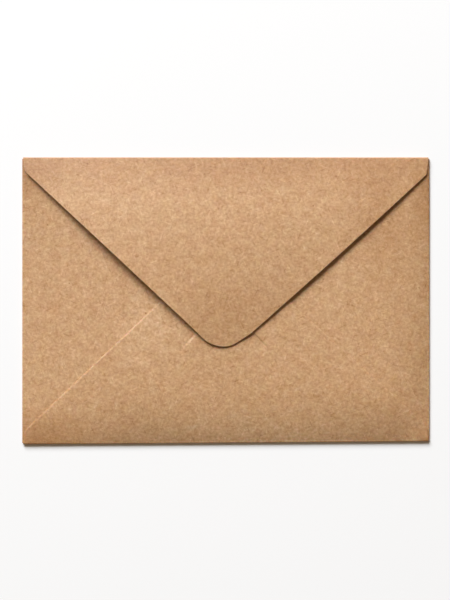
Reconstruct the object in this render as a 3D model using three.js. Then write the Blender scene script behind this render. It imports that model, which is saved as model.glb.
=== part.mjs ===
// Kraft letter envelope: one die-cut sheet of brown paper, creased along the four sides of its
// address panel. It lies on that panel, with its back glued and its closing flap folded down, unsealed.
// Millimetres, +Z up. The closing flap's crease is at +Y, and the origin is under the middle.

import * as THREE from "three";
import { mergeVertices } from "three/addons/utils/BufferGeometryUtils.js";

// Paper
const paperThickness = 0.2;
const layerGap = 0.12; // air between two sheets that lie on each other

// Folded envelope, measured over its creases
const width = 162;
const height = 114.2; // at the left end
const bottomCreaseRise = 1.2; // the bottom crease is a little out of square and climbs to the right
const sideCreaseRadius = 0.42; // bend of the side creases, to the middle of the paper

// Closing flap, with a rounded point
const closingDepth = 75.1;
const closingTipRadius = 12.3;
const closingShoulder = 6.2; // depth of the short straight cut beside the crease
const closingInset = 0.7; // how far that cut leans in
const closingRounding = { left: 4.5, right: 1.2 }; // radii where it turns into the long slanted edge
const closingTurn = -0.47; // degrees that the flap is turned in its own plane by an uneven crease

// Bottom flap, glued on the side flaps
const bottomDepth = 75.6;
const bottomTipRadius = 12.3;
const bottomShoulder = 6.2;
const bottomInset = 0.6;
const bottomRounding = 4.5;
const bottomTurn = 0.3;

// Side flaps, whose blunt points meet in the middle of the back
const sidePointGap = 0.8; // between the two points
const sidePointLength = 15.9; // from the point back to the corner where the edges turn
const sidePointHalfWidth = 17.8; // at that corner
const sidePointRadius = 2;

// How the folded sheets stand off the address panel
const pocketBulge = 3; // rise of the glued back where the pocket is widest, near the lower right
const pocketReach = { bottom: 22, right: 19, top: 92, left: 50 }; // from a crease to where the rise is full
const pocketSteepness = { bottom: 2.4, right: 2.2, top: 1.6, left: 1.5 }; // 1 is a straight slope
const middleRise = 0.35; // further rise of the bottom flap beside the closing flap's tip
const middleRiseRadius = 21;
const middleRiseBelow = 19; // from the middle of the envelope down to the middle of that rise
const closingCrown = 1.15; // bow of the closing flap between its crease and its tip
const closingSpring = 0.95; // early rise of the closing flap, as its crease isn't pressed flat
const closingSpringShare = 0.35; // share of the flap's depth over which it springs up
const closingTwist = 0.055; // sideways slope of the flap's tip, up to the left
const closingTipGap = 0.33; // between the tip and the bottom flap

// Fineness of the mesh
const bendSteps = 6; // even, so that one row lies on the outermost line of the crease
const roundSteps = 4;
const wideColumns = 25;
const sideColumns = 19;
const columnCrowding = 0.6; // 0 is even columns, and 1 crowds them most towards the flap's edges
const rowSpacing = 4.6;

// Derived sizes
const layerStep = paperThickness + layerGap;
const crossCreaseRadius = sideCreaseRadius + layerStep / 2; // top and bottom creases hold one sheet more
const sideAllowance = sideCreaseRadius + paperThickness / 2;
const crossAllowance = crossCreaseRadius + paperThickness / 2;

// Corners of the flat address panel, between the starts of the bends
const panelRight = width / 2 - sideAllowance;
const panelTop = height / 2 - crossAllowance;
const corners = {
  topLeft: new THREE.Vector2(-panelRight, panelTop),
  topRight: new THREE.Vector2(panelRight, panelTop),
  bottomLeft: new THREE.Vector2(-panelRight, -panelTop),
  bottomRight: new THREE.Vector2(panelRight, bottomCreaseRise - panelTop),
};

// A crease with its middle, its direction, and the direction across it into the envelope.
// Creases run anticlockwise round the panel, so "along" turned left by 90 degrees points inward.
function creaseBetween(from, to) {
  const along = new THREE.Vector2().subVectors(to, from).normalize();
  return {
    middle: new THREE.Vector2().addVectors(from, to).multiplyScalar(0.5),
    half: from.distanceTo(to) / 2,
    along,
    inward: new THREE.Vector2(-along.y, along.x),
  };
}

const creases = {
  bottom: creaseBetween(corners.bottomLeft, corners.bottomRight),
  right: creaseBetween(corners.bottomRight, corners.topRight),
  top: creaseBetween(corners.topRight, corners.topLeft),
  left: creaseBetween(corners.topLeft, corners.bottomLeft),
};

// Distance of a point of the plan from the start of a bend, inward
function distanceFrom(crease, point) {
  return point.clone().sub(crease.middle).dot(crease.inward);
}

// 0 at the crease on a side, and 1 from the pocket's reach on, steepest at the crease
function riseFrom(side, point) {
  const share = distanceFrom(creases[side], point) / pocketReach[side];
  return 1 - (1 - THREE.MathUtils.clamp(share, 0, 1)) ** pocketSteepness[side];
}

// Rise of the whole glued back over a point of the plan
function pocketRise(point) {
  return Object.keys(creases).reduce((rise, side) => rise * riseFrom(side, point), pocketBulge);
}

// Extra rise of the bottom flap where nothing under it is glued
function middleRiseAt(point) {
  const away = Math.hypot(point.x, point.y + middleRiseBelow) / middleRiseRadius;
  return away < 1 ? (middleRise * (1 + Math.cos(Math.PI * away))) / 2 : 0;
}

// Stand-off of the closing flap from the side flaps, at a share of its depth
function closingRise(point, share) {
  const bow = closingCrown * Math.sin(Math.PI * share);
  const sprung = 1 - (1 - Math.min(share / closingSpringShare, 1)) ** 2;
  const spring = closingSpring * sprung * (1 - share ** 4);
  const rest = (layerStep + middleRise + closingTipGap) * share ** 2;
  return bow + spring + rest - closingTwist * point.x * share ** 1.5;
}

// Half of a pointed flap's outline, as half-widths (x) at depths (y): a short shoulder cut, its rounding,
// the long slanted edge and the rounded tip.
function pointedOutline(halfCrease, depth, tipRadius, shoulder, inset, rounding) {
  const corner = new THREE.Vector2(halfCrease - inset, shoulder);
  const tipCentre = depth - tipRadius;
  const toCentre = new THREE.Vector2(corner.x, tipCentre - corner.y);
  const slant = toCentre.angle() + Math.asin(tipRadius / toCentre.length());
  const intoCorner = new THREE.Vector2(-inset, shoulder).normalize();
  const outOfCorner = new THREE.Vector2(-Math.cos(slant), Math.sin(slant));
  const turn = intoCorner.angleTo(outOfCorner);
  const cut = Math.min(rounding * Math.tan(turn / 2), shoulder);
  const before = corner.clone().addScaledVector(intoCorner, -cut);
  const after = corner.clone().addScaledVector(outOfCorner, cut);
  const path = new THREE.Path();
  path.moveTo(halfCrease, 0);
  path.lineTo(before.x, before.y);
  path.quadraticCurveTo(corner.x, corner.y, after.x, after.y);
  path.lineTo(tipRadius * Math.sin(slant), tipCentre + tipRadius * Math.cos(slant));
  path.absarc(0, tipCentre, tipRadius, Math.PI / 2 - slant, Math.PI / 2, false);
  return path.getPoints(roundSteps);
}

// Half of a side flap's outline: a long edge from the panel's corner, then the blunt point
function sideOutline(halfCrease) {
  const depth = panelRight - sidePointGap / 2;
  const corner = new THREE.Vector2(sidePointHalfWidth, depth - sidePointLength);
  const slant = Math.atan2(sidePointLength, sidePointHalfWidth);
  const tipCentre = depth - sidePointRadius;
  const path = new THREE.Path();
  path.moveTo(halfCrease, 0);
  path.lineTo(corner.x, corner.y);
  path.lineTo(sidePointRadius * Math.sin(slant), tipCentre + sidePointRadius * Math.cos(slant));
  path.absarc(0, tipCentre, sidePointRadius, Math.PI / 2 - slant, Math.PI / 2, false);
  return path.getPoints(roundSteps);
}

// Half-width of an outline at a depth
function halfWidthAt(outline, depth) {
  const next = outline.findIndex((point) => point.y >= depth);
  if (next <= 0) return outline[0].x;
  const share = (depth - outline[next - 1].y) / (outline[next].y - outline[next - 1].y);
  return THREE.MathUtils.lerp(outline[next - 1].x, outline[next].x, share);
}

// Depths of a flap's rows: every point of both outlines, and between them no more than the row spacing
function rowDepths(outlines) {
  const given = [...new Set(outlines.flat().map((point) => Number(point.y.toFixed(3))))];
  given.sort((a, b) => a - b);
  const last = outlines[0].at(-1).y;
  const depths = [0];
  for (const depth of given) {
    const gap = depth - depths.at(-1);
    if (gap < 0.15 || last - depth < 0.05) continue;
    const parts = Math.ceil(gap / rowSpacing);
    const start = depths.at(-1);
    for (let part = 1; part <= parts; part += 1) depths.push(start + (gap * part) / parts);
  }
  depths.push(last);
  return depths;
}

// One point of the sheet on both faces of the paper. "outward" points from the middle of the paper
// to the face that is outside on the folded envelope.
function bothFaces(middle, outward) {
  return {
    outer: middle.clone().addScaledVector(outward, paperThickness / 2),
    inner: middle.clone().addScaledVector(outward, -paperThickness / 2),
  };
}

// Places of the columns across a flap, from 0 at one end to 1 at the other
function columnShares(columns) {
  return Array.from({ length: columns + 1 }, (_, column) => {
    const even = column / columns;
    const crowded = (1 - Math.cos(Math.PI * even)) / 2;
    return THREE.MathUtils.lerp(even, crowded, columnCrowding);
  });
}

// Rows of a flap, from the address panel round the bend and on to the tip. The outlines are for the
// two ends of the crease, and heightAt gives the rise over the end of the bend.
function flapRows({ crease, radius, outlines, columns, turn = 0, turnDepth = 1, heightAt }) {
  const up = new THREE.Vector3(0, 0, 1);
  const shares = columnShares(columns);
  const rows = [];
  for (let step = 0; step <= bendSteps; step += 1) {
    const angle = (Math.PI * step) / bendSteps;
    const outward = new THREE.Vector3(
      -crease.inward.x * Math.sin(angle),
      -crease.inward.y * Math.sin(angle),
      -Math.cos(angle),
    );
    rows.push(
      shares.map((share) => {
        const plan = crease.middle.clone();
        plan.addScaledVector(crease.along, crease.half * (2 * share - 1));
        plan.addScaledVector(crease.inward, -radius * Math.sin(angle));
        const z = paperThickness / 2 + radius * (1 - Math.cos(angle));
        return bothFaces(new THREE.Vector3(plan.x, plan.y, z), outward);
      }),
    );
  }
  const depths = rowDepths(outlines);
  const turned = THREE.MathUtils.degToRad(turn);
  for (const depth of depths.slice(1)) {
    const start = -halfWidthAt(outlines[0], depth);
    const end = halfWidthAt(outlines[1], depth);
    const grip = Math.min(depth / turnDepth, 1); // the crease itself stays where it is
    rows.push(
      shares.map((share) => {
        const across = THREE.MathUtils.lerp(start, end, share);
        const plan = crease.middle.clone();
        plan.addScaledVector(crease.along, across * Math.cos(turned) - depth * Math.sin(turned));
        plan.addScaledVector(crease.inward, depth * Math.cos(turned) + grip * across * Math.sin(turned));
        const z = paperThickness / 2 + 2 * radius + heightAt(plan, depth / depths.at(-1));
        return bothFaces(new THREE.Vector3(plan.x, plan.y, z), up);
      }),
    );
  }
  return rows;
}

// The growing list of triangle corners, three numbers each
const positions = [];

function addTriangle(a, b, c) {
  if (a.equals(b) || b.equals(c) || c.equals(a)) return;
  for (const point of [a, b, c]) positions.push(point.x, point.y, point.z);
}

function addQuad(a, b, c, d) {
  addTriangle(a, b, c);
  addTriangle(a, c, d);
}

// Both faces of a flap and the cut edge round it. Its first row is shared with the address panel.
function addFlap(rows) {
  for (let row = 0; row < rows.length - 1; row += 1) {
    const here = rows[row];
    const next = rows[row + 1];
    for (let column = 0; column < here.length - 1; column += 1) {
      addQuad(here[column].outer, here[column + 1].outer, next[column + 1].outer, next[column].outer);
      addQuad(next[column].inner, next[column + 1].inner, here[column + 1].inner, here[column].inner);
    }
    addQuad(here[0].outer, next[0].outer, next[0].inner, here[0].inner);
    addQuad(here.at(-1).inner, next.at(-1).inner, next.at(-1).outer, here.at(-1).outer);
  }
}

// The flat address panel: both faces fan out from its middle to the starts of the bends
function addPanel(flaps) {
  const ring = flaps.flatMap((rows) => rows[0].slice(0, -1));
  const middle = bothFaces(new THREE.Vector3(0, 0, paperThickness / 2), new THREE.Vector3(0, 0, -1));
  ring.forEach((point, index) => {
    const next = ring[(index + 1) % ring.length];
    addTriangle(middle.outer, next.outer, point.outer);
    addTriangle(middle.inner, point.inner, next.inner);
  });
}

function closingFlap() {
  const outlineWith = (rounding) =>
    pointedOutline(
      creases.top.half,
      closingDepth - crossAllowance,
      closingTipRadius,
      closingShoulder - crossAllowance,
      closingInset,
      rounding,
    );
  return flapRows({
    crease: creases.top,
    radius: crossCreaseRadius,
    outlines: [outlineWith(closingRounding.right), outlineWith(closingRounding.left)],
    columns: wideColumns,
    turn: closingTurn,
    turnDepth: closingShoulder,
    heightAt: (plan, share) => pocketRise(plan) + closingRise(plan, share),
  });
}

function bottomFlap() {
  const outline = pointedOutline(
    creases.bottom.half,
    bottomDepth - crossAllowance,
    bottomTipRadius,
    bottomShoulder - crossAllowance,
    bottomInset,
    bottomRounding,
  );
  return flapRows({
    crease: creases.bottom,
    radius: crossCreaseRadius,
    outlines: [outline, outline],
    columns: wideColumns,
    turn: bottomTurn,
    turnDepth: bottomShoulder,
    heightAt: (plan) => pocketRise(plan) + middleRiseAt(plan),
  });
}

function sideFlap(crease) {
  const outline = sideOutline(crease.half);
  return flapRows({
    crease,
    radius: sideCreaseRadius,
    outlines: [outline, outline],
    columns: sideColumns,
    heightAt: (plan) => pocketRise(plan),
  });
}

function envelopeGeometry() {
  const flaps = [bottomFlap(), sideFlap(creases.right), closingFlap(), sideFlap(creases.left)];
  flaps.forEach(addFlap);
  addPanel(flaps);
  const sheet = new THREE.BufferGeometry();
  sheet.setAttribute("position", new THREE.Float32BufferAttribute(positions, 3));
  const merged = mergeVertices(sheet, 1e-3);
  merged.computeVertexNormals();
  return merged;
}

// Unbleached kraft paper, matt and warm brown
const kraftPaper = new THREE.MeshStandardMaterial({
  name: "kraft_paper",
  color: new THREE.Color("#c8955f"),
  roughness: 0.9,
  metalness: 0,
});

const envelope = new THREE.Mesh(envelopeGeometry(), kraftPaper);
envelope.name = "envelope";

const group = new THREE.Group();
group.add(envelope);

export default group;
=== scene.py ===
import math

import bmesh
import bpy
import numpy as np
from bpy.props import FloatProperty, FloatVectorProperty, PointerProperty
from bpy.types import Operator, Panel, PropertyGroup
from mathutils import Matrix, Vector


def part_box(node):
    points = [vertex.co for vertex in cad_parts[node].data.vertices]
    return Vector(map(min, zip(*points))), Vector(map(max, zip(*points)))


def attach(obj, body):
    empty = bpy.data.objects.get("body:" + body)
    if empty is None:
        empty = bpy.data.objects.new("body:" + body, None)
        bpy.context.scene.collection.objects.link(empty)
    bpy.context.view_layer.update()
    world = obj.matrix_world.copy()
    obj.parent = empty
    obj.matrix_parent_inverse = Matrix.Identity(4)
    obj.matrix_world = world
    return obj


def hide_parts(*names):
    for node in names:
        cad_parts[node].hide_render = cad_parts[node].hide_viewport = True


bl_info = {
    "name": "Kraft letter envelope",
    "version": (1, 0, 0),
    "blender": (4, 5, 0),
    "location": "View3D > Sidebar > Envelope",
    "description": "Folds a kraft letter envelope round the packed model and lays it on a studio table",
    "category": "Add Mesh",
}

# Lengths are in metres. Most are written in millimetres, as MM times a number.
MM = 0.001
NODE = "envelope"

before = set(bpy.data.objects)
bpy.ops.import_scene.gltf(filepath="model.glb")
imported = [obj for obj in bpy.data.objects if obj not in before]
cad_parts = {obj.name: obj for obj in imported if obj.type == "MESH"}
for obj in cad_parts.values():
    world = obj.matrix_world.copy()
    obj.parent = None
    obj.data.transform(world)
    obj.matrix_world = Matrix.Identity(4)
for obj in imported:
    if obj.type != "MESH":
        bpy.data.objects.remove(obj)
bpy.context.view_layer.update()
NODE_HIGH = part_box(NODE)[1]

# How steeply the glued back leaves each crease: powers of what is left of its reach
POCKET_POWERS = {"bottom": 2.4, "right": 2.2, "left": 1.5, "top": 1.6}

# The slow waves in the paper: wavelength in millimetres, heading and phase in radians
COCKLE_WAVES = ((61, 0.4, 0.3), (43, 1.9, 1.7), (31, 2.8, 4.1), (22, 0.9, 2.6), (37, 1.2, 5.2))

# The closing flap: powers by which its spring dies away and its twist grows towards the point
SPRING_POWER = 4
TWIST_POWER = 1.5
TIP_SKEW_START = 5.6 * MM  # from the point back to where its two halves start to differ
TIP_SKEW_FADE = 4.5 * MM

# The step that the side flaps' edges press into the bottom flap
STEP_WIDTH = 0.5 * MM
STEP_LEFT = 0.12 * MM  # height of the step on the left
STEP_RIGHT = -0.33 * MM  # and on the right, where it goes down
STEP_REACH = 5 * MM  # how far inside it has sunk away again
STEP_END = 0.92  # share of the way to the side flap's corner at which it starts to fade
STEP_FADE = 0.2
GROOVE_DEPTH = 0.08 * MM  # a groove outside the left step
GROOVE_WIDTH = 0.4 * MM
GROOVE_OFF = 0.3 * MM  # from the side flap's edge

# The bottom flap's pressed edge
PRESS_UNDER = 0.05 * MM  # of the pressed edge's drop, what its underside takes
PRESS_TURN = 20 * MM  # from the flap's middle to where its right edge is pressed less

# The mesh: numbers of points on its round stretches
BEND_ROWS = 12
SHOULDER_POINTS = 13
TIP_POINTS = 17
BLUNT_TIP_POINTS = 9
SHARP_ANGLE = math.radians(40)
MERGE = 0.0008 * MM  # points closer than this are one
TINY_SQUARE = 1e-18  # stands in for the square of a length of nothing
PLACE_LAYER = "flat_place"  # where a point lies on the flat die-cut sheet

# Spacing of its rows, from the crease to the point
OUTLINE_SPACING = 1.2 * MM
SHOULDER_PAST = 3 * MM  # how far past the shoulder the close rows go
SHOULDER_ROWS = 0.45 * MM
OPEN_ROWS = 2.0 * MM
STEPPED_FROM, STEPPED_TO = 36 * MM, 48 * MM  # where the side flaps' edges show in the bottom flap
STEPPED_ROWS = 0.35 * MM
COVERED_ROWS = 2.5 * MM  # under the closing flap
TIP_CLEAR = 0.3 * MM  # between the last of these rows and the first at the tip
SIDE_CLOSE_TO = 6 * MM  # the side flap's rows, close together up to here
SIDE_CLOSE_ROWS = 0.8 * MM
SIDE_ROWS = 2.2 * MM
SIDE_POINT_ROWS = 2 * MM
SIDE_TIP_CLEAR = 0.1 * MM

# Places of its columns, as shares of the flap's width: the first ones, then the spacing near the
# edges and the spacing in the middle
FIRST_COLUMNS = (0, 0.0012, 0.0024, 0.0038, 0.0056, 0.008, 0.012, 0.018, 0.028)
MIDDLE_FROM = 0.3
CLOSING_COLUMNS = (0.02, 0.014)
BOTTOM_COLUMNS = (0.014, 0.0033)
SIDE_COLUMNS = (0.02, 0.02)

# Kraft paper: scales are cells per metre, depths are shares of the brightness
CLOUD_SCALE = 45
CLOUD_DEPTH = 0.12
MOTTLE_SCALE = 260
MOTTLE_DEPTH = 0.50
GRAIN_SCALE = 900
GRAIN_DEPTH = 0.85
FIBRE_SCALE = 1500
FIBRE_SQUEEZE = 0.14  # width of a fibre as a share of its length
FIBRE_HEADINGS = (0.3, 1.15, 1.9, 2.75)
FIBRE_LIGHT = 0.66  # noise above this is a light fibre
FIBRE_DARK = 0.34  # and below this a dark one
FIBRE_EDGE = 0.08  # how far beyond, until the fibre has its full strength
FIBRE_DEPTH = 0.19
SPECK_SCALE = 230
SPECK_SHARE = 0.035  # of the cells, those with a speck
SPECK_RADIUS = 0.11
SPECK_CORE = 0.4  # share of that radius which is fully dark
SPECK_DEPTH = 0.5
BUMP_HEIGHT = 0.03 * MM
GRAIN_RELIEF = 0.6
MOTTLE_RELIEF = 0.4

# Painted shade and painted light: patches darker towards the edges and corners, or lighter where the last
# number is negative: across and up from the envelope's middle, reach both ways, in millimetres, and the
# share of the brightness lost
PAINTED_LIGHT_AND_SHADE = (
    (-80.0, -58.0, 36.0, 19.0, 0.33),
    (62.0, 36.0, 19.0, 46.0, 0.15),
    (-84.0, 52.0, 30.0, 18.0, 0.22),
    (0.0, 59.0, 160.0, 22.0, 0.26),
    (0.0, -4.0, 34.0, 22.0, 0.07),
    (84.0, -56.0, 12.0, 9.0, 0.35),
    (86.0, 42.0, 17.0, 30.0, 0.34),
    (10.0, -54.0, 78.0, 18.0, -0.15),
    (-30.0, -12.0, 22.0, 22.0, -0.13),
)
CREASE_SHADE_DEPTH = 0.28  # share of the brightness lost on the creases: painted shade where the paper turns from flat
CREASE_LEVEL = 0.95  # how level the paper is where that loss starts
CREASE_STEEP = 0.3  # and where it is full
WARMTH = (0.76, 1.18, 1.8)  # powers for red, green and blue: what is darker is also warmer
PAPER_SPECULAR = 0.75
PAPER_GLOW = 0.65  # thin paper lets some warm light through
PAPER_GLOW_RADIUS = (1.0, 0.4, 0.12)
PAPER_GLOW_SCALE = 0.3 * MM

# Table and camera
TABLE_DROP = -0.02 * MM  # keeps the table's face clear of the paper's
TABLE_NOISE_SCALE = 6.0
TABLE_NOISE = (0.3, 0.7)  # the noise between these gives the roughness between those
TABLE_ROUGHNESS = (0.58, 0.64)
TABLE_SPECULAR = 0.2
SENSOR = 36.0  # millimetres, along the picture's long side
CLIP_START = 10 * MM

# The colour sockets of a mix node
MIX_FIRST, MIX_SECOND, MIX_RESULT = 6, 7, 2


def length(name, description, millimetres):
    """A length property whose default is given in millimetres."""
    return FloatProperty(
        name=name, description=description, default=millimetres * MM, unit="LENGTH", precision=5
    )


def angle(name, description, degrees):
    """An angle property whose default is given in degrees."""
    return FloatProperty(
        name=name, description=description, default=math.radians(degrees), unit="ROTATION"
    )


def share(name, description, default, low=0.0):
    """A plain number up to 1, from 0 or from the given low end."""
    return FloatProperty(
        name=name, description=description, default=default, min=low, max=1.0, subtype="FACTOR"
    )


def colour(name, description, linear):
    """A colour property whose default is given as linear red, green and blue."""
    return FloatVectorProperty(
        name=name, description=description, default=linear, size=3, min=0.0, max=1.0, subtype="COLOR"
    )


class PaperSettings(PropertyGroup):
    """The sheet and its creases"""

    thickness: length("Thickness", "Thickness of the kraft paper", 0.2)
    layer_gap: length("Layer gap", "Air between two sheets that lie on each other", 0.12)
    side_radius: length("Side crease radius", "Bend of the side creases, to the paper's middle", 0.35)
    bottom_rise: length("Bottom crease rise", "How far the crooked bottom crease climbs to the right", 1.2)
    cockle: length("Cockle", "Height of the slow waves in the dry paper", 0.05)


class ClosingFlapSettings(PropertyGroup):
    """The long pointed flap, folded down and unsealed"""

    depth: length("Depth", "From the top crease to the rounded point", 75.1)
    tip_radius: length("Tip radius", "Radius of the rounded point", 12.3)
    tip_leaner_left: share(
        "Tip leaner left", "Share by which the left half of the point is leaner", -0.04, low=-1.0
    )
    tip_leaner_right: share(
        "Tip leaner right", "Share by which its right half is leaner", 0.19, low=-1.0
    )
    edge_bow_left: length("Left edge bow", "The left edge bows outwards by this", -0.2)
    edge_bow_right: length("Right edge bow", "The right edge bows outwards by this", 0.4)
    shoulder: length("Shoulder", "Depth of the short cut beside the crease", 6.2)
    right_shoulder_extra: length("Right shoulder extra", "The right cut is deeper by this", -0.05)
    inset: length("Inset", "How far that cut leans in", 0.7)
    rounding_left: length("Left rounding", "Radius of the left shoulder", 4.5)
    rounding_right: length("Right rounding", "Radius of the right shoulder", 1.2)
    turn: angle("Turn", "Turn in its own plane, from an uneven crease", -0.47)
    crown: length("Crown", "Bow between the crease and the point", 1.15)
    spring: length("Spring", "Early rise, as the crease isn't pressed flat", 0.95)
    spring_lean: share(
        "Spring lean", "Share by which the right end springs up less, and the left more", 0.4
    )
    spring_share: share("Spring share", "Share of the flap's depth over which it springs up", 0.35)
    twist: share("Twist", "Sideways slope of the point, up to the left", 0.055)
    tip_gap: length("Tip gap", "Air between the point and the bottom flap", 0.33)


class BottomFlapSettings(PropertyGroup):
    """The flap that is glued over the side flaps"""

    depth: length("Depth", "From the bottom crease to the hidden point", 75.6)
    tip_radius: length("Tip radius", "Radius of the hidden point", 12.3)
    shoulder: length("Shoulder", "Depth of the short cut beside the crease", 6.2)
    inset: length("Inset", "How far that cut leans in", 0.6)
    rounding: length("Rounding", "Radius of both shoulders", 4.5)
    turn: angle("Turn", "Turn in its own plane, from the crooked crease", 0.3)
    press: length("Pressed edge", "How far the glued edges are pressed down", 0.11)
    press_width: length("Pressed width", "Width of the pressed edge", 0.7)
    press_less: share("Pressed less", "Share by which the right edge is pressed less than the left", 0.4)
    middle_rise: length("Middle rise", "Rise of the unglued middle beside the closing flap's point", 0.35)
    middle_radius: length("Middle radius", "Radius of that rise", 21.0)
    middle_below: length("Middle below", "From the envelope's middle down to that rise", 19.0)


class SideFlapSettings(PropertyGroup):
    """The two hidden flaps with blunt points"""

    point_gap: length("Point gap", "Between the two points in the middle", 0.8)
    point_length: length("Point length", "From the point back to the corner of its edges", 15.9)
    point_half_width: length("Point half width", "Half width at that corner", 17.8)
    point_radius: length("Point radius", "Radius of the point", 2.0)


class PocketSettings(PropertyGroup):
    """How the glued back stands off the address panel"""

    bulge: length("Bulge", "Rise of the back where the pocket is widest", 3.0)
    bottom_reach: length("Bottom reach", "Distance from the bottom crease at which the rise is full", 22.0)
    right_reach: length("Right reach", "The same from the right crease", 19.0)
    left_reach: length("Left reach", "The same from the left crease", 50.0)
    top_reach: length("Top reach", "The same from the top crease", 92.0)


class KraftSettings(PropertyGroup):
    """Colour and surface of the paper"""

    tone: colour("Kraft tone", "Main colour of the paper", (0.525, 0.306, 0.148))
    roughness: share("Roughness", "Roughness of the uncoated surface", 0.6)


class StageSettings(PropertyGroup):
    """Table, lights and camera"""

    table: colour("Table", "Colour of the white table", (0.86, 0.86, 0.865))
    table_size: length("Table size", "Side of the square table", 9000.0)
    key_power: FloatProperty(
        name="Key power", description="Power of the soft box", default=765.0, unit="POWER"
    )
    key_width: length("Key width", "Width of the soft box", 3600.0)
    key_height: length("Key height", "Height of the soft box", 3000.0)
    key_distance: length("Key distance", "From the envelope to the soft box", 6000.0)
    key_azimuth: angle("Key azimuth", "From the top of the picture towards its left", 23.0)
    key_elevation: angle("Key elevation", "Height of the soft box over the table", 31.0)
    key_tone: colour("Key tone", "Colour of the soft box, a little cool", (0.92, 0.96, 1.0))
    fill: FloatProperty(name="Fill", description="Brightness of the room's even light", default=0.2)
    fill_tone: colour(
        "Fill tone", "Colour of the room's light, warm like the paper in it", (1.0, 0.76, 0.5)
    )
    lens: FloatProperty(
        name="Lens", description="Focal length on a 36 mm sensor", default=100.0, unit="CAMERA"
    )
    view_height: length("View height", "Height of table that fills the picture", 238.9)
    view_x: length("View x", "Camera's place left or right of the envelope's middle", -0.32)
    view_y: length("View y", "Camera's place above or below the envelope's middle", 0.36)


SETTINGS = {
    "envelope_paper": PaperSettings,
    "envelope_closing_flap": ClosingFlapSettings,
    "envelope_bottom_flap": BottomFlapSettings,
    "envelope_side_flap": SideFlapSettings,
    "envelope_pocket": PocketSettings,
    "envelope_kraft": KraftSettings,
    "envelope_stage": StageSettings,
}


def smooth_step(value):
    """0 below 0, 1 above 1, and smooth between."""
    value = np.clip(value, 0, 1)
    return value * value * (3 - 2 * value)


def slow_waves(plan):
    """Sum of a few long waves, between about -1 and 1, that stands for paper dried unevenly."""
    total = np.zeros(plan.shape[:-1])
    for wavelength, heading, phase in COCKLE_WAVES:
        across = plan[..., 0] * math.cos(heading) + plan[..., 1] * math.sin(heading)
        total += np.sin(2 * np.pi * across / (wavelength * MM) + phase) / len(COCKLE_WAVES)
    return total


class Crease:
    """One side of the flat address panel. It runs anticlockwise, so inward is on its left."""

    def __init__(self, start, end):
        start, end = np.array(start), np.array(end)
        self.middle = (start + end) / 2
        self.half = np.linalg.norm(end - start) / 2
        self.along = (end - start) / (2 * self.half)
        self.inward = np.array([-self.along[1], self.along[0]])

    def distance(self, plan):
        """Distance of plan points from the crease, inward."""
        return (plan - self.middle) @ self.inward


class Pattern:
    """The creases and heights of the folded envelope, worked out from the settings and the imported part's
    size.
    """

    def __init__(self, scene):
        self.paper = scene.envelope_paper
        self.closing = scene.envelope_closing_flap
        self.bottom = scene.envelope_bottom_flap
        self.side = scene.envelope_side_flap
        self.pocket = scene.envelope_pocket
        self.layer_step = self.paper.thickness + self.paper.layer_gap
        self.side_radius = self.paper.side_radius
        self.cross_radius = self.side_radius + self.layer_step / 2
        self.side_allowance = self.side_radius + self.paper.thickness / 2
        self.cross_allowance = self.cross_radius + self.paper.thickness / 2
        self.right = NODE_HIGH[0] - self.side_allowance
        self.top = NODE_HIGH[1] - self.cross_allowance
        bottom_left = (-self.right, -self.top)
        bottom_right = (self.right, self.paper.bottom_rise - self.top)
        top_left = (-self.right, self.top)
        top_right = (self.right, self.top)
        self.creases = {
            "bottom": Crease(bottom_left, bottom_right),
            "right": Crease(bottom_right, top_right),
            "top": Crease(top_right, top_left),
            "left": Crease(top_left, bottom_left),
        }

    def pocket_rise(self, plan):
        """Rise of the whole glued back, steep at the right and the bottom, with the slow waves."""
        rise = 1.0
        for side, power in POCKET_POWERS.items():
            reach = getattr(self.pocket, side + "_reach")
            left_over = 1 - np.clip(self.creases[side].distance(plan) / reach, 0, 1)
            rise = rise * (1 - left_over**power)
        return rise * (self.pocket.bulge + self.paper.cockle * slow_waves(plan))

    def side_edge(self, plan):
        """Distance inside the unglued middle, from the edges of the hidden side flaps, and how far
        from the envelope's middle along those edges."""
        corner_x = self.side.point_length + self.side.point_gap / 2
        corner = np.array([corner_x, -self.side.point_half_width])
        reach = np.linalg.norm(corner)
        along = corner / reach
        mirrored = np.stack([np.abs(plan[..., 0]), plan[..., 1]], axis=-1)
        inside = mirrored[..., 0] * along[1] - mirrored[..., 1] * along[0]
        return inside, (mirrored @ along) / reach

    def middle_rise(self, plan):
        """Rise of the bottom flap's unglued middle, with a small step over the side flaps' edges."""
        settings = self.bottom
        away = np.hypot(plan[..., 0], plan[..., 1] + settings.middle_below) / settings.middle_radius
        hump = np.where(away < 1, (1 + np.cos(np.pi * np.minimum(away, 1))) / 2, 0)
        inside, along = self.side_edge(plan)
        shown = 1 - smooth_step((along - STEP_END) / STEP_FADE)
        sunk = np.exp(-((np.maximum(inside, 0) / STEP_REACH) ** 2))
        left = plan[..., 0] < 0
        step = np.where(left, STEP_LEFT, STEP_RIGHT) * (smooth_step(inside / STEP_WIDTH) * sunk)
        off = (inside + GROOVE_OFF) / GROOVE_WIDTH
        groove = np.where(left, GROOVE_DEPTH, 0) * np.exp(-(off**2))
        return settings.middle_rise * hump + (step - groove) * shown

    def closing_rise(self, plan, along):
        """Stand-off of the closing flap from the side flaps, by the share of its depth along it."""
        settings = self.closing
        rest = self.layer_step + self.bottom.middle_rise + settings.tip_gap
        rise = settings.crown * np.sin(np.pi * along) + rest * along**2
        sprung = 1 - (1 - np.minimum(along / settings.spring_share, 1)) ** 2
        spring = settings.spring * (1 - settings.spring_lean * plan[..., 0] / self.right)
        rise = rise + spring * sprung * (1 - along**SPRING_POWER)
        return rise - settings.twist * plan[..., 0] * along**TWIST_POWER


def round_tip(radius, depth, slant, count):
    """Half of a flap's rounded point, from where its slanting edge meets it."""
    angles = np.linspace(math.pi / 2 - slant, math.pi / 2, count)[:, None]
    return np.hstack([radius * np.cos(angles), depth - radius + radius * np.sin(angles)])


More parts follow.
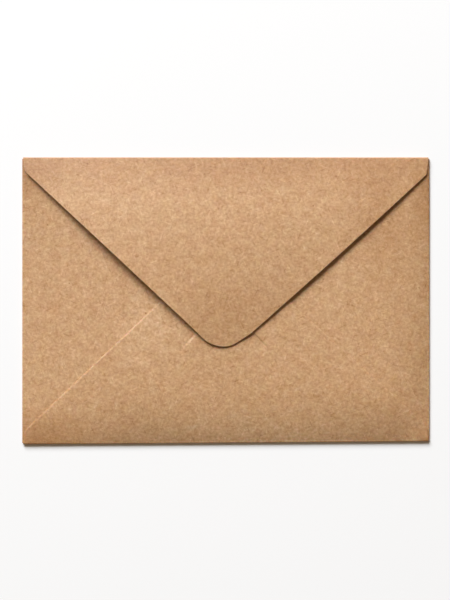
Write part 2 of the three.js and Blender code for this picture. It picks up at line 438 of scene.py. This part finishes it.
def pointed_outline(half_crease, depth, tip_radius, shoulder, inset, rounding):
    """Half of a pointed flap's outline, as half-widths and depths."""
    corner = np.array([half_crease - inset, shoulder])
    run, drop = corner[0], depth - tip_radius - corner[1]
    slant = math.atan2(drop, run) + math.asin(tip_radius / math.hypot(run, drop))
    into = np.array([-inset, shoulder]) / math.hypot(inset, shoulder)
    out_of = np.array([-math.cos(slant), math.sin(slant)])
    cut = min(rounding * math.tan(math.acos(into @ out_of) / 2), shoulder)
    before, after = corner - into * cut, corner + out_of * cut
    t = np.linspace(0, 1, SHOULDER_POINTS)[:, None]
    bend = before * (1 - t) ** 2 + corner * 2 * t * (1 - t) + after * t**2
    return np.vstack([[[half_crease, 0.0]], bend, round_tip(tip_radius, depth, slant, TIP_POINTS)])


def uneven_outline(outline, shoulder, lean, bow):
    """The same outline, its point leaner by a share and its slanting edge bowed outwards."""
    depth = outline[-1, 1]
    along = np.union1d(outline[:, 1], np.arange(shoulder, depth, OUTLINE_SPACING))
    across = np.interp(along, outline[:, 1], outline[:, 0])
    across = across * (1 - lean * smooth_step((along - depth + TIP_SKEW_START) / TIP_SKEW_FADE))
    place = np.clip((along - shoulder) / (depth - shoulder - TIP_SKEW_START), 0, 1)
    return np.column_stack([across + bow * np.sin(math.pi * place), along])


def side_outline(half_crease, depth, settings):
    """Half of a side flap's outline: a long edge, then the blunt point."""
    corner = np.array([settings.point_half_width, depth - settings.point_length])
    slant = math.atan2(settings.point_length, settings.point_half_width)
    tip = round_tip(settings.point_radius, depth, slant, BLUNT_TIP_POINTS)
    return np.vstack([[[half_crease, 0.0]], [corner], tip])


def edge_distance(across, depth, outlines):
    """Distance of flap points from the flap's cut edge. The outlines are for its two sides."""
    points = np.stack([across, depth], axis=-1)[..., None, :]
    nearest = np.full(across.shape, np.inf)
    for sign, outline in zip((-1, 1), outlines):
        line = outline * np.array([sign, 1])
        start, step = line[:-1], np.diff(line, axis=0)
        square = np.maximum((step**2).sum(-1), TINY_SQUARE)
        along = np.clip(((points - start) * step).sum(-1) / square, 0, 1)
        gap = np.linalg.norm(points - start - along[..., None] * step, axis=-1).min(-1)
        nearest = np.minimum(nearest, gap)
    return nearest


def spaced(stops):
    """Ascending numbers through the stops, given as (end, spacing) after a start at 0."""
    values = [0.0]
    for end, spacing in stops:
        count = max(1, math.ceil((end - values[-1]) / spacing))
        values.extend(np.linspace(values[-1], end, count + 1)[1:])
    return np.array(values)


def flap_rows(outline, stops, clear):
    """Depths of a flap's rows: through the stops, then those of its outline at the tip."""
    depths = spaced(stops)
    return np.concatenate([depths, outline[:, 1][outline[:, 1] > depths[-1] + clear]])


def flap_columns(fine, middle):
    """Places across a flap from 0 to 1: close together at both cut edges, then the given spacing
    near the edges and in the middle."""
    near = np.array(FIRST_COLUMNS)
    inner = spaced([(MIDDLE_FROM, fine), (0.5, middle)])
    left = np.concatenate([near, inner[inner > near[-1] + fine / 2]])
    return np.concatenate([left, 1 - left[-2::-1]])


class Sheet:
    """The growing mesh of the folded paper, with each point's place on the flat die-cut sheet."""

    def __init__(self):
        self.points = []
        self.places = []
        self.faces = []
        self.fans = []
        self.count = 0

    def add_points(self, points, places):
        """Adds a grid of points and returns their numbers in the same grid."""
        rows, columns = points.shape[:2]
        numbers = self.count + np.arange(rows * columns).reshape(rows, columns)
        self.points.append(points.reshape(-1, 3))
        self.places.append(places.reshape(-1, 2))
        self.count += rows * columns
        return numbers

    def add_strip(self, near, far):
        """Quads between two lines of point numbers, facing right of the way along the near one."""
        self.faces.append(np.stack([near[:-1], near[1:], far[1:], far[:-1]], axis=-1).reshape(-1, 4))

    def add_face(self, numbers):
        """Quads over a whole grid of point numbers."""
        for near, far in zip(numbers[:-1], numbers[1:]):
            self.add_strip(near, far)

    def mesh(self, name):
        """The finished mesh, with points that meet merged into one and the cut edges kept sharp."""
        work = bmesh.new()
        layer = work.verts.layers.float_vector.new(PLACE_LAYER)
        verts = []
        for point, place in zip(np.vstack(self.points).tolist(), np.vstack(self.places).tolist()):
            vert = work.verts.new(point)
            vert[layer] = (place[0], place[1], 0.0)
            verts.append(vert)
        for numbers in np.vstack(self.faces).tolist() + np.vstack(self.fans).tolist():
            work.faces.new([verts[number] for number in numbers])
        bmesh.ops.remove_doubles(work, verts=work.verts, dist=MERGE)
        bmesh.ops.dissolve_degenerate(work, edges=work.edges, dist=MERGE)
        bmesh.ops.recalc_face_normals(work, faces=work.faces)
        made = bpy.data.meshes.new(name)
        work.to_mesh(made)
        work.free()
        made.shade_smooth()
        made.set_sharp_from_angle(angle=SHARP_ANGLE)
        return made


def no_press(distance, across, depth):
    """No pressing at the cut edge."""
    return 0.0, 0.0


class Flap:
    """One flap, from the address panel round its bend to its point.

    height_at gives the rise of plan points at shares of the flap's depth. press_at gives the drop
    of the outer and inner face, from the distance to the cut edge and the places across and deep.
    """

    def __init__(self, pattern, side, radius, outlines, depths, columns, height_at):
        self.half_thickness = pattern.paper.thickness / 2
        self.crease = pattern.creases[side]
        self.radius = radius
        self.outlines = outlines
        self.depths = depths
        self.columns = columns
        self.height_at = height_at
        self.turn = 0.0
        self.grip_depth = pattern.top  # the turn has full effect from this depth on
        self.press_at = no_press

    def on_crease(self, across):
        """Plan points on the line of the crease."""
        return self.crease.middle + across[..., None] * self.crease.along

    def bend(self):
        """Grids of the bend's outer and inner face, and of its place on the flat sheet."""
        angles = np.linspace(0, np.pi, BEND_ROWS + 1)[:, None]
        shape = (len(angles), len(self.columns))
        across = np.broadcast_to(self.crease.half * (2 * self.columns - 1), shape)
        plan = self.on_crease(across) - (self.radius * np.sin(angles))[..., None] * self.crease.inward
        middle_z = self.half_thickness + self.radius * (1 - np.cos(angles)) + np.zeros_like(across)
        outward = np.zeros(plan.shape[:2] + (3,))
        outward[..., :2] = -np.sin(angles)[..., None] * self.crease.inward
        outward[..., 2] = -np.cos(angles)
        middle = np.dstack([plan, middle_z])
        place = self.on_crease(across) - (self.radius * angles)[..., None] * self.crease.inward
        return middle + self.half_thickness * outward, middle - self.half_thickness * outward, place

    def blade(self):
        """The same grids for the rest of the flap."""
        rows = self.depths[1:]
        start, end = [np.interp(rows, line[:, 1], line[:, 0])[:, None] for line in self.outlines]
        across = -start + (end + start) * self.columns
        depth = np.broadcast_to(rows[:, None], across.shape)
        grip = np.minimum(depth / self.grip_depth, 1)
        cosine, sine = math.cos(self.turn), math.sin(self.turn)
        plan = self.on_crease(across * cosine - depth * sine)
        plan = plan + (depth * cosine + grip * across * sine)[..., None] * self.crease.inward
        rise = self.height_at(plan, depth / self.depths[-1])
        middle_z = self.half_thickness + 2 * self.radius + rise
        distance = edge_distance(across, depth, self.outlines)
        outer_press, inner_press = self.press_at(distance, across, depth)
        outer = np.dstack([plan, middle_z + self.half_thickness - outer_press])
        inner = np.dstack([plan, middle_z - self.half_thickness - inner_press])
        inward = (depth + np.pi * self.radius)[..., None] * self.crease.inward
        return outer, inner, self.on_crease(across) - inward

    def add_to(self, sheet):
        """Adds the flap and returns its two faces' first rows, which the address panel shares."""
        outer, inner, places = [np.vstack(grids) for grids in zip(self.bend(), self.blade())]
        outer = sheet.add_points(outer, places)
        inner = sheet.add_points(inner, places)
        sheet.add_face(outer)
        sheet.add_face(inner[:, ::-1])
        sheet.add_strip(inner[:, 0], outer[:, 0])
        sheet.add_strip(outer[:, -1], inner[:, -1])
        return outer[0], inner[0]


def closing_flap(pattern):
    """The long flap that folds down from the top crease."""
    settings = pattern.closing
    half = pattern.creases["top"].half
    depth = settings.depth - pattern.cross_allowance
    shoulder = settings.shoulder - pattern.cross_allowance
    sides = (
        (
            shoulder + settings.right_shoulder_extra,
            settings.rounding_right,
            settings.tip_leaner_right,
            settings.edge_bow_right,
        ),
        (shoulder, settings.rounding_left, settings.tip_leaner_left, settings.edge_bow_left),
    )
    outlines = []
    for cut, rounding, lean, bow in sides:
        outline = pointed_outline(half, depth, settings.tip_radius, cut, settings.inset, rounding)
        outlines.append(uneven_outline(outline, shoulder, lean, bow))
    stops = [(shoulder + SHOULDER_PAST, SHOULDER_ROWS), (depth - settings.tip_radius, OPEN_ROWS)]
    flap = Flap(
        pattern, "top", pattern.cross_radius, outlines,
        flap_rows(outlines[0], stops, TIP_CLEAR), flap_columns(*CLOSING_COLUMNS),
        lambda plan, along: pattern.pocket_rise(plan) + pattern.closing_rise(plan, along),
    )
    flap.turn = settings.turn
    flap.grip_depth = settings.shoulder
    return flap


def bottom_flap(pattern):
    """The flap glued over the side flaps, whose edges show through its unglued middle."""
    settings = pattern.bottom
    half = pattern.creases["bottom"].half
    depth = settings.depth - pattern.cross_allowance
    shoulder = settings.shoulder - pattern.cross_allowance
    outline = pointed_outline(
        half, depth, settings.tip_radius, shoulder, settings.inset, settings.rounding
    )

    def press_at(distance, across, at_depth):
        pressed = 1 - smooth_step(distance / settings.press_width)
        pressed = pressed * smooth_step(at_depth / settings.shoulder)
        pressed = pressed * (1 - settings.press_less * smooth_step(across / PRESS_TURN))
        return settings.press * pressed, PRESS_UNDER * pressed

    stops = [
        (shoulder + SHOULDER_PAST, SHOULDER_ROWS),
        (STEPPED_FROM, OPEN_ROWS),
        (STEPPED_TO, STEPPED_ROWS),
        (depth - settings.tip_radius, COVERED_ROWS),
    ]
    flap = Flap(
        pattern, "bottom", pattern.cross_radius, [outline, outline],
        flap_rows(outline, stops, TIP_CLEAR), flap_columns(*BOTTOM_COLUMNS),
        lambda plan, _along: pattern.pocket_rise(plan) + pattern.middle_rise(plan),
    )
    flap.turn = settings.turn
    flap.grip_depth = settings.shoulder
    flap.press_at = press_at
    return flap


def side_flap(pattern, side):
    """One of the two side flaps, under the others."""
    settings = pattern.side
    depth = pattern.right - settings.point_gap / 2
    outline = side_outline(pattern.creases[side].half, depth, settings)
    stops = [
        (SIDE_CLOSE_TO, SIDE_CLOSE_ROWS),
        (depth - settings.point_length, SIDE_ROWS),
        (depth - settings.point_radius, SIDE_POINT_ROWS),
    ]
    return Flap(
        pattern, side, pattern.side_radius, [outline, outline],
        flap_rows(outline, stops, SIDE_TIP_CLEAR), flap_columns(*SIDE_COLUMNS),
        lambda plan, _along: pattern.pocket_rise(plan),
    )


def add_address_panel(sheet, rings, thickness):
    """The flat panel: both faces fan out from its middle to the starts of the bends."""
    for face, z in enumerate((0.0, thickness)):
        ring = np.concatenate([ends[face][:-1] for ends in rings])
        middle = sheet.add_points(np.array([[[0.0, 0.0, z]]]), np.zeros((1, 1, 2)))[0, 0]
        after = np.roll(ring, -1)
        fan = np.stack([np.full_like(ring, middle), ring, after], axis=-1)
        sheet.fans.append(fan if face else fan[:, ::-1])


def build_sheet(scene):
    """The whole folded sheet as one mesh."""
    pattern = Pattern(scene)
    sheet = Sheet()
    flaps = (
        bottom_flap(pattern), side_flap(pattern, "right"),
        closing_flap(pattern), side_flap(pattern, "left"),
    )
    rings = [flap.add_to(sheet) for flap in flaps]
    add_address_panel(sheet, rings, pattern.paper.thickness)
    return sheet.mesh("kraft_sheet")


class Nodes:
    """Short calls for building a material's node tree."""

    def __init__(self, name):
        self.material = bpy.data.materials.new(name)
        self.material.use_nodes = True
        self.tree = self.material.node_tree
        self.shader = self.tree.nodes["Principled BSDF"]

    def add(self, kind, inputs=(), **settings):
        """A node with its settings, and its inputs by name or number as values or sockets."""
        node = self.tree.nodes.new(kind)
        for key, value in settings.items():
            setattr(node, key, value)
        for key, value in dict(inputs).items():
            self.plug(value, node.inputs[key])
        return node

    def plug(self, value, socket):
        """Links a socket, or sets a plain value."""
        if isinstance(value, bpy.types.NodeSocket):
            self.tree.links.new(value, socket)
        else:
            socket.default_value = value

    def place(self, scale, turn=0.0, squeeze=1.0):
        """Coordinates on the flat sheet, scaled to cells per metre, turned and squeezed."""
        where = self.add("ShaderNodeAttribute", attribute_name=PLACE_LAYER)
        inputs = {
            "Vector": where.outputs["Vector"],
            "Rotation": (0.0, 0.0, turn),
            "Scale": (1 / (scale * squeeze), 1 / scale, 1 / scale),
        }
        return self.add("ShaderNodeMapping", inputs, vector_type="TEXTURE").outputs["Vector"]

    def noise(self, scale, detail, rough=0.5, turn=0.0, squeeze=1.0):
        """Noise on the flat sheet, from 0 to 1."""
        inputs = {
            "Vector": self.place(scale, turn, squeeze),
            "Scale": 1.0,
            "Detail": detail,
            "Roughness": rough,
        }
        return self.add("ShaderNodeTexNoise", inputs).outputs["Fac"]

    def oval(self, middle, reach):
        """Distance from the middle of an oval on the folded envelope, 1 at its rim."""
        where = self.add("ShaderNodeTexCoord").outputs["Object"]
        offset = self.vector("SUBTRACT", where, (middle[0], middle[1], 0.0)).outputs[0]
        scaled = self.vector("MULTIPLY", offset, (1 / reach[0], 1 / reach[1], 0.0)).outputs[0]
        return self.vector("LENGTH", scaled).outputs["Value"]

    def level(self):
        """1 where the paper lies flat, 0 on the outside of a crease or at a cut edge."""
        normal = self.add("ShaderNodeNewGeometry").outputs["Normal"]
        height = self.add("ShaderNodeSeparateXYZ", {"Vector": normal}).outputs["Z"]
        return self.math("ABSOLUTE", height)

    def vector(self, operation, first, second=(0.0, 0.0, 0.0)):
        """A vector math node."""
        return self.add("ShaderNodeVectorMath", {0: first, 1: second}, operation=operation)

    def math(self, operation, first, second=0.0, third=0.0):
        """A math node's result."""
        inputs = {0: first, 1: second, 2: third}
        return self.add("ShaderNodeMath", inputs, operation=operation).outputs[0]

    def band(self, value, low, high, to_low=0.0, to_high=1.0):
        """A value mapped smoothly from one range to another."""
        inputs = {"Value": value, "From Min": low, "From Max": high, "To Min": to_low, "To Max": to_high}
        return self.add("ShaderNodeMapRange", inputs, interpolation_type="SMOOTHSTEP").outputs["Result"]


def paper_grain(nodes, mottle, grain):
    """Brightness of the pulp, about 1: clouds, mottle, grain, light and dark fibres, and specks."""
    clouds = nodes.noise(CLOUD_SCALE, detail=3.0, rough=0.6)
    total = 1.0
    for noise, depth in ((clouds, CLOUD_DEPTH), (mottle, MOTTLE_DEPTH), (grain, GRAIN_DEPTH)):
        total = nodes.math("MULTIPLY_ADD", nodes.math("SUBTRACT", noise, 0.5), depth, total)
    for heading in FIBRE_HEADINGS:
        fibre = nodes.noise(FIBRE_SCALE, detail=1.0, turn=heading, squeeze=FIBRE_SQUEEZE)
        light = nodes.band(fibre, FIBRE_LIGHT, FIBRE_LIGHT + FIBRE_EDGE)
        dark = nodes.band(fibre, FIBRE_DARK, FIBRE_DARK - FIBRE_EDGE)
        total = nodes.math("MULTIPLY_ADD", light, FIBRE_DEPTH, total)
        total = nodes.math("MULTIPLY_ADD", dark, -FIBRE_DEPTH, total)
    cells = nodes.add(
        "ShaderNodeTexVoronoi", {"Vector": nodes.place(SPECK_SCALE), "Scale": 1.0, "Randomness": 1.0}
    )
    chance = nodes.add("ShaderNodeSeparateColor", {"Color": cells.outputs["Color"]}).outputs[0]
    rare = nodes.math("GREATER_THAN", chance, 1 - SPECK_SHARE)
    spot = nodes.band(cells.outputs["Distance"], SPECK_RADIUS, SPECK_RADIUS * SPECK_CORE)
    return nodes.math("MULTIPLY_ADD", nodes.math("MULTIPLY", rare, spot), -SPECK_DEPTH, total)


def paint_light_and_shade(nodes, total):
    """The same brightness with painted shade and light in the listed patches, and painted shade on the
    creases.
    """
    # painted shade and painted light, patch by patch
    for x, y, wide, high, depth in PAINTED_LIGHT_AND_SHADE:
        spot = nodes.oval((x * MM, y * MM), (wide * MM, high * MM))
        left_over = nodes.math("MULTIPLY_ADD", nodes.band(spot, 1.0, 0.0), -depth, 1.0)
        total = nodes.math("MULTIPLY", total, left_over)
    # painted shade on the creases, darker where the paper tilts away from flat
    crease_shade = nodes.band(nodes.level(), CREASE_LEVEL, CREASE_STEEP, 1.0, 1 - CREASE_SHADE_DEPTH)
    return nodes.math("MULTIPLY", total, crease_shade)


def kraft_material(settings):
    """Unbleached kraft paper: mottled brown pulp with fibres and specks, with painted light and shade in
    patches and painted shade on the creases.
    """
    nodes = Nodes("kraft_paper")
    mottle = nodes.noise(MOTTLE_SCALE, detail=2.0, rough=0.55)
    grain = nodes.noise(GRAIN_SCALE, detail=1.5, rough=0.6)
    total = paint_light_and_shade(nodes, paper_grain(nodes, mottle, grain))
    shares = [nodes.math("POWER", total, power) for power in WARMTH]
    tint = nodes.add("ShaderNodeCombineColor", dict(enumerate(shares))).outputs[0]
    tone = tuple(settings.tone) + (1.0,)
    inputs = {"Factor": 1.0, MIX_FIRST: tone, MIX_SECOND: tint}
    tinted = nodes.add("ShaderNodeMix", inputs, data_type="RGBA", blend_type="MULTIPLY")
    nodes.plug(tinted.outputs[MIX_RESULT], nodes.shader.inputs["Base Color"])
    relief = nodes.math("MULTIPLY", mottle, MOTTLE_RELIEF)
    relief = nodes.math("MULTIPLY_ADD", grain, GRAIN_RELIEF, relief)
    bump = nodes.add("ShaderNodeBump", {"Height": relief, "Distance": BUMP_HEIGHT, "Strength": 1.0})
    nodes.plug(bump.outputs["Normal"], nodes.shader.inputs["Normal"])
    nodes.shader.inputs["Roughness"].default_value = settings.roughness
    nodes.shader.inputs["Specular IOR Level"].default_value = PAPER_SPECULAR
    nodes.shader.inputs["Subsurface Weight"].default_value = PAPER_GLOW
    nodes.shader.inputs["Subsurface Radius"].default_value = PAPER_GLOW_RADIUS
    nodes.shader.inputs["Subsurface Scale"].default_value = PAPER_GLOW_SCALE
    return nodes.material


def table_material(tone):
    """Smooth white table with a barely uneven surface."""
    nodes = Nodes("white_table")
    where = nodes.add("ShaderNodeTexCoord").outputs["Object"]
    inputs = {"Vector": where, "Scale": TABLE_NOISE_SCALE, "Detail": 2.0}
    uneven = nodes.add("ShaderNodeTexNoise", inputs).outputs["Fac"]
    nodes.plug(nodes.band(uneven, *TABLE_NOISE, *TABLE_ROUGHNESS), nodes.shader.inputs["Roughness"])
    nodes.shader.inputs["Base Color"].default_value = tuple(tone) + (1.0,)
    nodes.shader.inputs["Specular IOR Level"].default_value = TABLE_SPECULAR
    return nodes.material


def add_table(scene, settings):
    """The square table under the envelope."""
    half = settings.table_size / 2
    table = bpy.data.meshes.new("table")
    corners = [(-half, -half), (half, -half), (half, half), (-half, half)]
    table.from_pydata([(x, y, TABLE_DROP) for x, y in corners], [], [(0, 1, 2, 3)])
    table.materials.append(table_material(settings.table))
    floor = bpy.data.objects.new("table", table)
    scene.collection.objects.link(floor)


def add_lights(scene, settings):
    """The soft box, aimed at the envelope, and the room's even light."""
    key_data = bpy.data.lights.new("key", "AREA")
    key_data.shape = "RECTANGLE"
    key_data.size = settings.key_width
    key_data.size_y = settings.key_height
    key_data.energy = settings.key_power
    key_data.color = settings.key_tone
    key = bpy.data.objects.new("key", key_data)
    ground = settings.key_distance * math.cos(settings.key_elevation)
    key.location = (
        -ground * math.sin(settings.key_azimuth),
        ground * math.cos(settings.key_azimuth),
        settings.key_distance * math.sin(settings.key_elevation),
    )
    key.rotation_euler = key.location.to_track_quat("Z", "Y").to_euler()
    scene.collection.objects.link(key)

    room = bpy.data.worlds.new("room")
    room.use_nodes = True
    background = room.node_tree.nodes["Background"]
    background.inputs["Color"].default_value = tuple(settings.fill_tone) + (1.0,)
    background.inputs["Strength"].default_value = settings.fill
    scene.world = room


def add_camera(scene, settings):
    """The camera straight above the envelope."""
    camera_data = bpy.data.cameras.new("camera")
    camera_data.lens = settings.lens
    camera_data.sensor_width = SENSOR
    camera_data.clip_start = CLIP_START
    camera = bpy.data.objects.new("camera", camera_data)
    distance = settings.view_height * settings.lens / SENSOR
    camera.location = (settings.view_x, settings.view_y, distance)
    scene.collection.objects.link(camera)
    scene.camera = camera
    scene.view_settings.view_transform = "Standard"


class ENVELOPE_OT_fold(Operator):
    """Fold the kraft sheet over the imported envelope"""

    bl_idname = "envelope.fold"
    bl_label = "Fold the envelope"

    def execute(self, context):
        scene = context.scene
        piece = bpy.data.objects.new("kraft_envelope", build_sheet(scene))
        scene.collection.objects.link(piece)
        piece.data.materials.append(kraft_material(scene.envelope_kraft))
        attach(piece, "root")
        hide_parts(NODE)
        return {"FINISHED"}


class ENVELOPE_OT_stage(Operator):
    """Set the table, the soft lights and the camera"""

    bl_idname = "envelope.stage"
    bl_label = "Set the stage"

    def execute(self, context):
        scene = context.scene
        add_table(scene, scene.envelope_stage)
        add_lights(scene, scene.envelope_stage)
        add_camera(scene, scene.envelope_stage)
        return {"FINISHED"}


class ENVELOPE_PT_panel(Panel):
    """The envelope's settings and steps"""

    bl_label = "Envelope"
    bl_idname = "ENVELOPE_PT_panel"
    bl_space_type = "VIEW_3D"
    bl_region_type = "UI"
    bl_category = "Envelope"

    def draw(self, context):
        for group in SETTINGS:
            box = self.layout.box()
            for name in SETTINGS[group].__annotations__:
                box.prop(getattr(context.scene, group), name)
        self.layout.operator("envelope.fold")
        self.layout.operator("envelope.stage")


CLASSES = (*SETTINGS.values(), ENVELOPE_OT_fold, ENVELOPE_OT_stage, ENVELOPE_PT_panel)


def register():
    for cls in CLASSES:
        bpy.utils.register_class(cls)
    for name, group in SETTINGS.items():
        setattr(bpy.types.Scene, name, PointerProperty(type=group))


def unregister():
    for name in SETTINGS:
        delattr(bpy.types.Scene, name)
    for cls in reversed(CLASSES):
        bpy.utils.unregister_class(cls)


def main():
    register()
    bpy.ops.envelope.fold()
    bpy.ops.envelope.stage()


if __name__ == "__main__":
    main()
